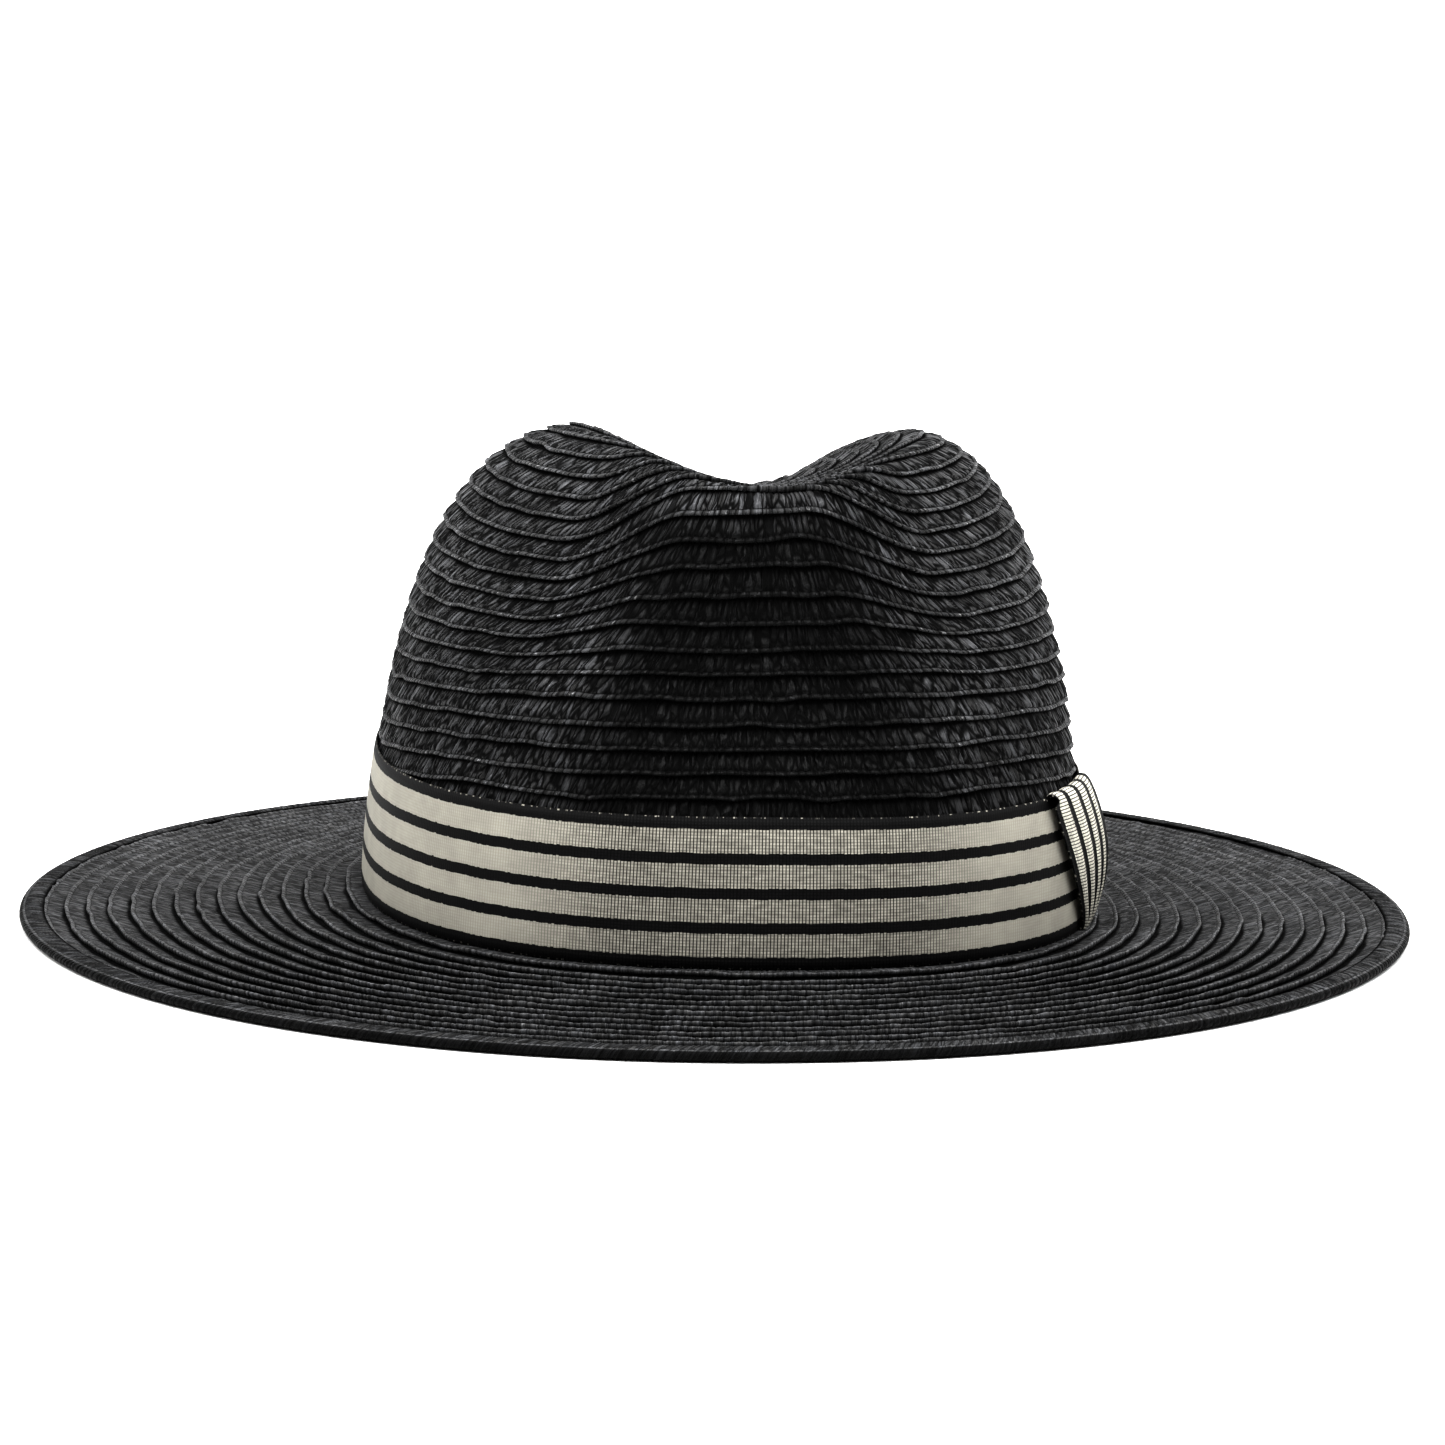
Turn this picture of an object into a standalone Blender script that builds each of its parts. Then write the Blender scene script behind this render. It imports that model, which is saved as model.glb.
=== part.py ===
"""A braided straw sun hat with a pinched crown, a flat round brim and a striped ribbon.

The hat stands on its brim. +Z is up, the front of the hat faces -Y, and the wearer's left is +X.
The origin is under the middle of the brim, on the surface that the hat rests on. Sizes are in metres.

The crown is a superellipse dome that three soft shapes press in: the lengthwise crease on top, the
flat facet in front, and a slope that makes the front a little taller than the back. Every piece is a
closed thin shell that follows this surface at its own distance, between two heights or two rows.
"""

import math

import bmesh
import bpy
import numpy as np

# Head and crown
CROWN_HALF_WIDTH = 0.0890       # at the fold between crown and brim
CROWN_EXTRA_LENGTH = 0.0164     # how much longer than wide the head opening is, each way
CROWN_SQUARENESS = 2.36         # superellipse power of the head opening; 2 is an ellipse
FRONT_CORNERS = -0.6            # added to that power at the top of the front
CROWN_HEIGHT = 0.1253
WALL_POWER = 5.14               # how straight the wall rises
TOP_POWER = 1.69                # how round the shoulder is
BACK_SLOPE = 1.46               # loss of height per metre towards the back
LEAN = 0.0154                   # the crown leans this much, in radians, to the wearer's left
CROWN_SHIFT = 0.0014            # and stands this far to that side of the brim's middle

# Crease and front facet
CREASE_HALF_WIDTH = 0.0443
CREASE_TOP = 0.1389
CREASE_FLOOR = {-0.100: 0.1180, -0.075: 0.1160, 0.0: 0.1088, 0.060: 0.096, 0.090: 0.091}
CREASE_SHIFT = 0.0012           # of the crease, to the wearer's left
FACET_FOOT_Y, FACET_FOOT_Z = -0.1040, 0.040
FACET_SLOPE = 0.32
FACET_HOLLOW, FACET_HOLLOW_Z, FACET_HOLLOW_HEIGHT = 0.0035, 0.068, 0.020
PRESS_RADIUS = 0.004            # how softly the crease and the facet meet the dome

# Brim
BRIM_HALF_WIDTH = 0.1753
BRIM_HALF_LENGTH = 0.1831
BRIM_SQUARENESS = 2.04
FOLD_Z = 0.0045                 # height of the fold above the resting surface
BRIM_THICKNESS = 0.0011

# Braid, ribbon and sweatband
CROWN_ROWS = 31
ROW_PITCH = 0.00585
SIDE_CROWN_ROWS = 18            # the rest of the rows are the tip
BRAID_OUT, BRAID_IN = 0.0006, 0.0010
RIBBON_BOTTOM = FOLD_Z + 0.0014
RIBBON_HEIGHT = 0.03525
RIBBON_INNER, RIBBON_THICKNESS = 0.0015, 0.0005
SWEATBAND_HEIGHT = 0.031
GAP = 0.0003

# Rolled edge of the brim and the wire inside it
EDGE_WIDTH = 0.0065
EDGE_HALF_HEIGHT = 0.0016
EDGE_WALL = 0.0006
WIRE_RADIUS = 0.0005
WIRE_FROM_RIM = 0.0022
JOINER_INNER, JOINER_OUTER = 0.00070, 0.00082
WIRE_END_GAP = 0.004            # radians from the middle of the back to each end of the wire
JOINER_REACH = 0.040            # radians that the joiner covers, each way

COLUMNS = 56                    # points around the crown
BRIM_COLUMNS = 64               # points around the brim


# ---------------------------------------------------------------- surfaces

def smooth_step(value, low, high):
    step = np.clip((value - low) / (high - low), 0.0, 1.0)
    return step * step * (3.0 - 2.0 * step)


def soft_max(one, other, radius):
    """The larger of two heights, with their meeting line rounded."""
    return 0.5 * (one + other + np.sqrt((one - other) ** 2 + radius * radius))


def unit_outline(angle, power):
    """A superellipse of half-width 1, at angles from +X."""
    across, along = np.cos(angle), np.sin(angle)
    size = (np.abs(across) ** power + np.abs(along) ** power) ** (-1.0 / power)
    return across * size, along * size


def dome(rise, angle):
    """The crown before it is creased; rise runs from 0 at the base to 1 in the middle of the top."""
    turn = rise * math.pi / 2
    half_width = CROWN_HALF_WIDTH * np.cos(turn) ** (2 / WALL_POWER)
    height = CROWN_HEIGHT * np.sin(turn) ** (2 / TOP_POWER)
    corners = FRONT_CORNERS * smooth_step(height, 0.060, 0.115) * (np.sin(angle) < 0)
    across, along = unit_outline(angle, CROWN_SQUARENESS + corners)
    y = (half_width + CROWN_EXTRA_LENGTH) * along
    return half_width * across, y, height * (1 - BACK_SLOPE * y * smooth_step(height, 0.050, 0.120))


def crease_height(x, y):
    """The lengthwise valley on top: a bell-shaped trough whose floor falls towards the back."""
    floor = np.interp(y, list(CREASE_FLOOR), list(CREASE_FLOOR.values()))
    return CREASE_TOP - (CREASE_TOP - floor) * np.exp(-(((x - CREASE_SHIFT) / CREASE_HALF_WIDTH) ** 2))


def facet_depth(height):
    """Where the flat front facet holds the wall back: a leaning plane with a slight hollow."""
    plane = FACET_FOOT_Y + FACET_SLOPE * (height - FACET_FOOT_Z)
    hollow = np.exp(-(((height - FACET_HOLLOW_Z) / FACET_HOLLOW_HEIGHT) ** 2))
    return plane + FACET_HOLLOW * hollow


def crown_surface(rise, angle):
    """Points of the finished crown, in the crown's own upright axes."""
    x, y, z = np.broadcast_arrays(*dome(rise, angle))
    y = np.where(y < 0, soft_max(y, facet_depth(z), PRESS_RADIUS), y)
    z = -soft_max(-z, -crease_height(x, y), PRESS_RADIUS)
    return np.stack([x, y, z], axis=-1)


def settle(points):
    """Leans and shifts the crown on the brim."""
    x, y, z = np.moveaxis(points, -1, 0)
    moved = [x + 1.4 * LEAN * z + CROWN_SHIFT, y, z - LEAN * x]
    return np.stack(moved, axis=-1)


def meridians(angle):
    """The crown's surface and its length from the fold, up to the middle of the top."""
    surface = crown_surface(np.linspace(0.0, 1.0, 500)[:, None], angle[None, :])
    steps = np.linalg.norm(np.diff(surface, axis=0), axis=2)
    length = np.vstack([np.zeros(len(angle)), np.cumsum(steps, axis=0)])
    return surface, length


def at_rows(rows, angle):
    """Crown points at each braid row and angle, rows counted from the fold."""
    surface, length = meridians(angle)
    found = np.empty((len(rows), len(angle), 3))
    for column in range(len(angle)):
        start = np.interp(FOLD_Z, surface[:60, column, 2], length[:60, column])
        spare = length[-1, column] - start - ROW_PITCH * CROWN_ROWS
        late = np.clip((rows - SIDE_CROWN_ROWS) / (CROWN_ROWS - SIDE_CROWN_ROWS), 0.0, 1.0)
        wanted = start + ROW_PITCH * rows + spare * late**1.5
        for axis in range(3):
            found[:, column, axis] = np.interp(wanted, length[:, column], surface[:, column, axis])
    return found


def at_height(height, angle):
    """Points of the crown's wall at given heights, one row of points for each."""
    surface = crown_surface(np.linspace(0.0, 0.7, 300)[:, None], angle[None, :])
    found = np.empty((len(height), len(angle), 3))
    for column in range(len(angle)):
        for axis in range(3):
            found[:, column, axis] = np.interp(
                height, surface[:, column, 2], surface[:, column, axis]
            )
    return found


def move_out(points, up, offset, closed=True):
    """A grid of rows and columns on the crown, moved out along the normals; up is its upward slope."""
    if closed:
        around = np.roll(points, -1, axis=1) - np.roll(points, 1, axis=1)
    else:
        around = np.gradient(points, axis=1)
    normal = np.cross(around, up)
    normal /= np.linalg.norm(normal, axis=2, keepdims=True)
    return settle(points + normal * offset)


def wall_band(heights, angle, offset, closed=True):
    """A grid on the wall between two heights."""
    points = at_height(heights, angle)
    return move_out(points, np.gradient(points, axis=0), offset, closed)


def crown_band(rows, angle, offset):
    """A grid on the crown between two rows of braid."""
    near = 0.05
    up = at_rows(rows + near, angle) - at_rows(rows - near, angle)
    return move_out(at_rows(rows, angle), up, offset)


def brim_surface(share, angle):
    """Points between the fold, at share 0, and the brim's outer edge, at share 1."""
    x, y = unit_outline(angle, CROWN_SQUARENESS)
    flat = np.zeros_like(x)
    fold = [CROWN_HALF_WIDTH * x, (CROWN_HALF_WIDTH + CROWN_EXTRA_LENGTH) * y, flat + FOLD_Z]
    fold = settle(np.stack(fold, axis=-1))
    x, y = unit_outline(angle, BRIM_SQUARENESS)
    edge = np.stack([BRIM_HALF_WIDTH * x, BRIM_HALF_LENGTH * y, flat + EDGE_HALF_HEIGHT], axis=-1)
    share = share[:, None, None]
    points = fold + (edge - fold) * share
    points[..., 2] = edge[..., 2] + (fold[..., 2] - edge[..., 2]) * (1 - share[..., 0]) ** 1.5
    return points


def edge_frame(angle):
    """The brim's outermost line and the level direction across it, outwards."""
    outermost = np.array([1.0])
    line = brim_surface(outermost, angle)[0]
    nudge = 0.001
    along = brim_surface(outermost, angle + nudge)[0] - brim_surface(outermost, angle - nudge)[0]
    across = np.stack([along[:, 1], -along[:, 0], 0 * along[:, 0]], axis=-1)
    return line, across / np.linalg.norm(across, axis=1, keepdims=True)


# ---------------------------------------------------------------- meshes

def angles(count):
    return np.arange(count) * 2 * math.pi / count


def material(name, colour, roughness):
    made = bpy.data.materials.new(name)
    made.use_nodes = True
    shader = made.node_tree.nodes["Principled BSDF"]
    shader.inputs["Base Color"].default_value = (*colour, 1.0)
    shader.inputs["Roughness"].default_value = roughness
    shader.inputs["Metallic"].default_value = 0.0
    made.diffuse_color = (*colour, 1.0)
    return made


def add_object(name, points, faces, look):
    mesh = bpy.data.meshes.new(name)
    mesh.from_pydata([tuple(point) for point in points], [], faces)
    shape = bmesh.new()
    shape.from_mesh(mesh)
    bmesh.ops.recalc_face_normals(shape, faces=shape.faces)
    shape.to_mesh(mesh)
    shape.free()
    mesh.shade_smooth()
    mesh.set_sharp_from_angle(angle=math.radians(40))
    mesh.materials.append(look)
    piece = bpy.data.objects.new(name, mesh)
    bpy.context.scene.collection.objects.link(piece)
    return piece


def strip_faces(first, second, closed):
    """Quads between two equally long lines of point numbers."""
    count = len(first)
    pairs = [(i, (i + 1) % count) for i in range(count if closed else count - 1)]
    return [(first[a], first[b], second[b], second[a]) for a, b in pairs]


def shell(name, outer, inner, look, closed=True, capped=False):
    """A closed thin body between two grids. A capped one closes over its last row."""
    rows, columns = outer.shape[:2]
    number = np.arange(rows * columns * 2).reshape(2, rows, columns).tolist()
    points = [*outer.reshape(-1, 3), *inner.reshape(-1, 3)]
    faces = []
    for side in number:
        for row in range(rows - 1):
            faces += strip_faces(side[row], side[row + 1], closed)
    faces += strip_faces(number[0][0], number[1][0], closed)
    if capped:
        for side in number:
            middle = len(points)
            points.append(np.mean([points[i] for i in side[-1]], axis=0))
            ring = side[-1]
            faces += [(ring[i], ring[(i + 1) % columns], middle) for i in range(columns)]
    else:
        faces += strip_faces(number[0][-1], number[1][-1], closed)
    if not closed:
        for column in (0, -1):
            outside = [row[column] for row in number[0]]
            inside = [row[column] for row in number[1]]
            faces += strip_faces(outside, inside, False)
    return add_object(name, points, faces, look)


def swept_ring(name, section, angle, look):
    """A section of (distance in from the edge, height) points carried round the brim's edge."""
    line, across = edge_frame(angle)
    rings = [line - across * inset + np.array([0, 0, height]) for inset, height in section]
    count = len(angle)
    number = np.arange(len(rings) * count).reshape(len(rings), count).tolist()
    faces = []
    for ring in range(len(rings)):
        faces += strip_faces(number[ring], number[(ring + 1) % len(rings)], True)
    return add_object(name, np.concatenate(rings), faces, look)


def tube(name, route, radius, look, sides=6):
    """A thread or a wire along a route, with closed ends."""
    route = np.asarray(route)
    along = np.gradient(route, axis=0)
    along /= np.linalg.norm(along, axis=1, keepdims=True)
    beside = np.cross(along, [0.0, 0.0, 1.0] if abs(along[0][2]) < 0.7 else [1.0, 0.0, 0.0])
    beside /= np.linalg.norm(beside, axis=1, keepdims=True)
    above = np.cross(beside, along)
    turn = angles(sides)[None, :, None]
    rings = route[:, None] + radius * (np.cos(turn) * beside[:, None] + np.sin(turn) * above[:, None])
    number = np.arange(rings.shape[0] * sides).reshape(-1, sides).tolist()
    faces = [tuple(number[0]), tuple(number[-1])]
    for ring in range(len(number) - 1):
        faces += strip_faces(number[ring], number[ring + 1], True)
    return add_object(name, rings.reshape(-1, 3), faces, look)


# ---------------------------------------------------------------- pieces

def make_side_crown(look):
    around = angles(COLUMNS)
    rows = np.array([0.25, 3, 6, 9, 11.5, 13.5, 15, 16.3, 17.4, SIDE_CROWN_ROWS])
    outer = crown_band(rows, around, BRAID_OUT)
    inner = crown_band(rows, around, -BRAID_IN)
    return shell("side_crown_braid", outer, inner, look)


def make_crown_tip(look):
    around = angles(COLUMNS)
    start = SIDE_CROWN_ROWS + GAP / ROW_PITCH
    rows = np.array([start, 19, 20.2, 21.6, 23, 24.5, 26, 27.5, 29, 30.3])
    outer = crown_band(rows, around, BRAID_OUT)
    inner = crown_band(rows, around, -BRAID_IN)
    return shell("crown_tip_braid", outer, inner, look, capped=True)


def make_brim(look):
    around = angles(BRIM_COLUMNS)
    width = BRIM_HALF_WIDTH - CROWN_HALF_WIDTH
    shares = np.linspace(-BRAID_IN / width, 1 - (EDGE_WIDTH - 0.0022) / width, 6)
    middle = brim_surface(shares, around)
    half = np.array([0.0, 0.0, BRIM_THICKNESS / 2])
    return shell("brim_braid", middle + half, middle - half, look)


def edge_section():
    """The last braid row rolled round the wire: a C that holds the brim's edge in its mouth."""
    outer_arc = [math.radians(turn) for turn in (60, 25, -25, -60)]
    inner_arc = [math.radians(turn) for turn in (-50, 0, 50)]
    bend = 0.0022
    cavity = EDGE_HALF_HEIGHT - EDGE_WALL
    section = [(EDGE_WIDTH, EDGE_HALF_HEIGHT), (bend, EDGE_HALF_HEIGHT)]
    section += [(bend * (1 - math.cos(a)), EDGE_HALF_HEIGHT * math.sin(a)) for a in outer_arc]
    section += [(bend, -EDGE_HALF_HEIGHT), (EDGE_WIDTH, -EDGE_HALF_HEIGHT)]
    section += [(EDGE_WIDTH, -cavity), (bend, -cavity)]
    hollow = bend - EDGE_WALL
    section += [(bend - hollow * math.cos(a), cavity * math.sin(a)) for a in inner_arc]
    section += [(bend, cavity), (EDGE_WIDTH, cavity)]
    return section


def make_edge(look):
    return swept_ring("brim_edge_braid", edge_section(), angles(BRIM_COLUMNS), look)


def wire_line(start, end, count):
    """The wire's middle line inside the rolled edge, between two angles."""
    line, across = edge_frame(np.linspace(start, end, count))
    return line - across * WIRE_FROM_RIM


def make_wire(look):
    """One length of wire, bent to the brim's outline; its ends meet at the back with a gap."""
    start = math.pi / 2 + WIRE_END_GAP
    end = math.pi / 2 + 2 * math.pi - WIRE_END_GAP
    return tube("brim_wire", wire_line(start, end, 96), WIRE_RADIUS, look)


def make_wire_joiner(look):
    """A thin tube that holds the wire's two ends in line."""
    line = wire_line(math.pi / 2 - JOINER_REACH, math.pi / 2 + JOINER_REACH, 5)
    along = np.gradient(line, axis=0)
    along /= np.linalg.norm(along, axis=1, keepdims=True)
    level = np.cross(along, [0.0, 0.0, 1.0])
    turn = angles(8)
    grids = []
    for radius in (JOINER_OUTER, JOINER_INNER):
        flat = np.cos(turn)[None, :, None] * level[:, None]
        high = np.sin(turn)[None, :, None] * np.array([0.0, 0.0, 1.0])
        grids.append(line[:, None] + radius * (flat + high))
    return shell("wire_joiner", grids[0], grids[1], look)


WRAP_MIDDLE = math.radians(-31)     # where the ribbon's wrap stands, from +X towards the front
WRAP_FRONT, WRAP_BACK = -40.5, -20.0        # its two edges at the top, in degrees from +X
WRAP_FRONT_TURN, WRAP_BACK_TURN = 11.5, 1.0     # how far each edge has turned at the foot
WRAP_THICKNESS = 0.0004
WRAP_BULGE = 0.0028             # how far the wrap's back edge stands off the ribbon, half way down
LAP = math.radians(7)           # how far the ribbon's ends reach past each other
LAP_LIFT = 0.0008               # how far the outer end climbs over the inner one
TACK_RADIUS = 0.00022
LEVEL = 0.001                   # height between the two rows that give a single row its slope


def ribbon_lift(angle):
    """How far the ribbon's outer end climbs over its inner end, under the wrap."""
    meeting = WRAP_MIDDLE + 2 * math.pi
    return LAP_LIFT * smooth_step(angle, meeting - 3 * LAP, meeting - LAP)


def make_ribbon(look):
    """One strip round the crown whose ends lap under the wrap."""
    around = np.linspace(WRAP_MIDDLE - LAP, WRAP_MIDDLE + 2 * math.pi + LAP / 2, COLUMNS + 4)
    bottom, top = RIBBON_BOTTOM, RIBBON_BOTTOM + RIBBON_HEIGHT
    heights = np.array([bottom, (bottom + top) / 2, top])
    lift = ribbon_lift(around)[None, :, None]
    outer = wall_band(heights, around, RIBBON_INNER + RIBBON_THICKNESS + lift, closed=False)
    inner = wall_band(heights, around, RIBBON_INNER + lift, closed=False)
    return shell("hatband_ribbon", outer, inner, look, closed=False)


def wrap_path():
    """The wrap's middle line, as (offset from the crown, height, how far down the front it is)."""
    bottom, top = RIBBON_BOTTOM, RIBBON_BOTTOM + RIBBON_HEIGHT
    behind = (BRAID_OUT + RIBBON_INNER) / 2
    return np.array([
        (behind, top - 0.005, 0.0),
        (behind, top + 0.0003, 0.0),
        (0.0022, top + 0.0006, 0.0),
        (0.0036, top - 0.0005, 0.01),
        (0.0045, top - 0.009, 0.26),
        (0.0050, (top + bottom) / 2, 0.50),
        (0.0045, bottom + 0.008, 0.77),
        (0.0036, bottom + 0.0006, 0.98),
        (0.0022, bottom - 0.0007, 1.0),
        (behind, bottom - 0.0002, 1.0),
        (behind, bottom + 0.005, 1.0),
    ])


def make_wrap(look):
    """A short length of the same ribbon, upright, round the band where its ends lap."""
    path = wrap_path()
    along = np.gradient(path[:, :2], axis=0)
    normal = np.stack([along[:, 1], -along[:, 0]], axis=1)
    normal /= np.linalg.norm(normal, axis=1, keepdims=True)
    share = np.linspace(0, 1, 7)
    grids = []
    for side in (-WRAP_THICKNESS / 2, WRAP_THICKNESS / 2):
        rows = []
        for (offset, height), fall in zip(path[:, :2] + normal * side, path[:, 2]):
            front = math.radians(WRAP_FRONT + WRAP_FRONT_TURN * fall**1.4)
            back = math.radians(WRAP_BACK + WRAP_BACK_TURN * fall)
            around = front + (back - front) * share
            bulge = WRAP_BULGE * math.sin(math.pi * fall) * share[:, None]
            rows.append(wall_band(np.array([height, height + LEVEL]), around, offset + bulge, False)[0])
        grids.append(np.array(rows))
    return shell("hatband_wrap", grids[0], grids[1], look, closed=False)


def make_tack(name, angle, look):
    """A thread stitch over the ribbon's top edge, into the braid."""
    top = RIBBON_BOTTOM + RIBBON_HEIGHT
    outer = RIBBON_INNER + RIBBON_THICKNESS + 0.00055
    path = [
        (outer, top - 0.0022), (outer, top - 0.0008), (outer, top + 0.0003),
        (outer - 0.0006, top + 0.0009), (BRAID_OUT + 0.0006, top + 0.0012),
    ]
    around = np.array([angle, angle + 0.001])
    route = [wall_band(np.array([h, h + LEVEL]), around, o, False)[0][0] for o, h in path]
    return tube(name, route, TACK_RADIUS, look)


def make_sweatband(look):
    """The inner band. Its ends meet at the back, where the tape covers them."""
    around = math.pi / 2 + np.linspace(0.006, 2 * math.pi - 0.006, COLUMNS + 1)
    heights = np.linspace(FOLD_Z + 0.0005, FOLD_Z + SWEATBAND_HEIGHT, 3)
    outer = wall_band(heights, around, -BRAID_IN - 0.0005, closed=False)
    inner = wall_band(heights, around, -BRAID_IN - 0.0012, closed=False)
    return shell("sweatband", outer, inner, look, closed=False)


def inside_patch(name, middle, half_width, low, high, look):
    """A small flat piece sewn on the sweatband's inner face."""
    reach = half_width / (CROWN_HALF_WIDTH + CROWN_EXTRA_LENGTH)
    around = middle + np.linspace(-reach, reach, 5)
    heights = np.linspace(FOLD_Z + low, FOLD_Z + high, 3)
    outer = wall_band(heights, around, -BRAID_IN - 0.0012 - GAP, closed=False)
    inner = wall_band(heights, around, -BRAID_IN - 0.0012 - 2 * GAP, closed=False)
    return shell(name, outer, inner, look, closed=False)


def build():
    straw = material("black_straw", (0.030, 0.030, 0.032), 0.55)
    ribbon = material("striped_ribbon", (0.60, 0.57, 0.48), 0.70)
    cotton = material("black_twill", (0.020, 0.020, 0.022), 0.80)
    steel = material("steel_wire", (0.55, 0.55, 0.56), 0.35)
    thread = material("thread", (0.50, 0.47, 0.40), 0.60)
    label = material("blank_label", (0.80, 0.78, 0.72), 0.70)
    make_side_crown(straw)
    make_crown_tip(straw)
    make_brim(straw)
    make_edge(straw)
    make_wire(steel)
    make_wire_joiner(steel)
    make_ribbon(ribbon)
    make_wrap(ribbon)
    make_tack("band_tack_back", math.radians(90), thread)
    make_tack("band_tack_left_side", math.radians(38), thread)
    make_tack("band_tack_right_side", math.radians(142), thread)
    make_sweatband(cotton)
    inside_patch("sweatband_back_tape", math.pi / 2, 0.007, 0.001, 0.030, cotton)
    inside_patch("size_label", math.radians(74), 0.009, 0.010, 0.026, label)


for old in list(bpy.data.objects):
    bpy.data.objects.remove(old)
build()
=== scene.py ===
"""The finished look of the braided straw sun hat: plaited braid, striped ribbon, sweatband and label.

Everything is in metres, in the row frame: +Z up, the front of the hat towards -Y. The crown is the
same creased superellipse dome as the CAD model. A strip of braid is laid on it as a spiral, in
three stretches: the crown's tip, its side down to the fold, and the brim out to the rolled edge.
"""

import math

import bpy
import numpy as np
from mathutils import Matrix


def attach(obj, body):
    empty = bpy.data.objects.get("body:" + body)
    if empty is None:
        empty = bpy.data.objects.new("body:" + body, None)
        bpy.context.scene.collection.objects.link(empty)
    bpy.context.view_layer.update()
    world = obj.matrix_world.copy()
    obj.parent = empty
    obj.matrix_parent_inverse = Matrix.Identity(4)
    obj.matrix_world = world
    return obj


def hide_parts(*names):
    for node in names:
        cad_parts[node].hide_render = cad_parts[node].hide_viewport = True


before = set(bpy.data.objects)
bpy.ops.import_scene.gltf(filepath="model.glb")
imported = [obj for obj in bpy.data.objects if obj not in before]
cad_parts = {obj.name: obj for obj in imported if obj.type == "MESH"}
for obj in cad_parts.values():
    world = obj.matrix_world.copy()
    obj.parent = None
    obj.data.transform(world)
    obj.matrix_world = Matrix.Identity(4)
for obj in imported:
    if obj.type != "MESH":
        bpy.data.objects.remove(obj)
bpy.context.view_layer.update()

# Head and crown, as in the CAD model
CROWN_HALF_WIDTH = 0.0890       # at the fold between crown and brim
CROWN_EXTRA_LENGTH = 0.0164     # how much longer than wide the head opening is, each way
CROWN_SQUARENESS = 2.36         # superellipse power of the head opening; 2 is an ellipse
FRONT_CORNERS = -0.6            # added to that power at the top of the front
CROWN_HEIGHT = 0.1253
WALL_POWER = 5.14               # how straight the wall rises
TOP_POWER = 1.69                # how round the shoulder is
BACK_SLOPE = 1.46               # share of its height lost per metre towards the back
LEAN = 0.0154                   # the crown leans this much, in radians, to the wearer's left
LEAN_SIDEWAYS = 1.4             # and its top moves this many times as far aside as that lean takes it
CROWN_SHIFT = 0.0014            # and stands this far to that side of the brim's middle

# Crease and front facet
CREASE_HALF_WIDTH = 0.0443
CREASE_TOP = 0.1389
CREASE_FLOOR = {-0.100: 0.1180, -0.075: 0.1160, 0.0: 0.1088, 0.060: 0.096, 0.090: 0.091}
CREASE_SHIFT = 0.0012           # of the crease, to the wearer's left
FACET_FOOT_Y, FACET_FOOT_Z = -0.1040, 0.040
FACET_SLOPE = 0.32
FACET_HOLLOW, FACET_HOLLOW_Z, FACET_HOLLOW_HEIGHT = 0.0035, 0.068, 0.020
PRESS_RADIUS = 0.004            # how softly the crease and the facet meet the dome

# How the pressing moved the rows of braid, by row from the fold: metres, and degrees round the crown
ROW_RISE = {0: 0.0, 5.5: 0.0100, 10: 0.0066, 13.5: 0.0004, 17.5: -0.0037, 22.5: -0.0060, 30: 0.0}
FACET_RISE = {0: 0.0, 5.5: -0.0019, 8.5: -0.0007, 11.5: 0.0030, 14.5: 0.0093, 17.5: 0.0137, 27: 0.0}
LEFT_RISE = {0: 0.0, 5.5: 0.0008, 17.5: 0.0035, 30: 0.0}
FACET_HALF_ANGLE = {9.5: 35, 12: 30, 15: 24}
FACET_MIDDLE, FACET_SOFTNESS = 266, 13

# Brim
BRIM_HALF_WIDTH = 0.1753
BRIM_HALF_LENGTH = 0.1831
BRIM_SQUARENESS = 2.04
FOLD_Z = 0.0045                 # height of the fold above the resting surface
EDGE_WIDTH = 0.0065             # the rolled last row
EDGE_HALF_HEIGHT = 0.0016
EDGE_BEND = 0.0022              # depth of the bend at its rim, from outside to where it is flat
BRIM_ROWS = 15                  # inside the rolled one
BRIM_ROW = 0.00565              # and the width of each
FILLET = 0.0016                 # how far the brim's first row turns up into the crown
EDGE_LENGTH = 1.13              # about once round the brim
EDGE_SUNK, EDGE_SKIN = 0.0004, 0.0008   # its cracks and its inner side, below its outer line

# The braid: a flat plait of paper straw, about 7 mm wide, each row lapped over the next one out
CROWN_ROWS = 31
ROW_PITCH = 0.00585
TIP_ROWS = 13                   # of the crown's rows, those in its tip
SHOULDER_ROW, TOP_ROW = 17, 24  # where the shoulder begins, and where the top is reached
LAP = 0.22                      # share of a row that is tucked under its neighbour
STEP = 0.00042                  # spacing of the mesh along the braid
BRAID_THICKNESS = 0.0009
TUCK_DEPTH, TILT = 0.0011, 0.0020               # depth of the inner edge, and rise from it to the lip
LIP_START = 0.845               # the beaded lip begins here, as a share of the strip's width
STRAND, STRAND_CRACK = 0.0014, 0.00028          # width of a strand and of the crack beside it
BEAD, BEAD_CRACK = 0.0024, 0.0003               # and the same of a bead in the lip
CROWN_RELIEF, BRIM_RELIEF = 0.0006, 0.0002      # height of the strands above the cracks
LIP_RELIEF = 0.00035
EDGE_RELIEF = 0.00036
SWAY, SWAY_SPACING = 0.0002, 0.007              # how far a row's lip wanders from its line
SWELL, SWELL_SPACING = 0.00012, 0.004           # and how far it lifts and sinks
TOP_FLATTENING = 0.35           # share of its height that the strip loses on the top of the crown
TUCK_RISE = 0.0009              # how far the tucked edge turns up, against the lip that covers it

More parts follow.
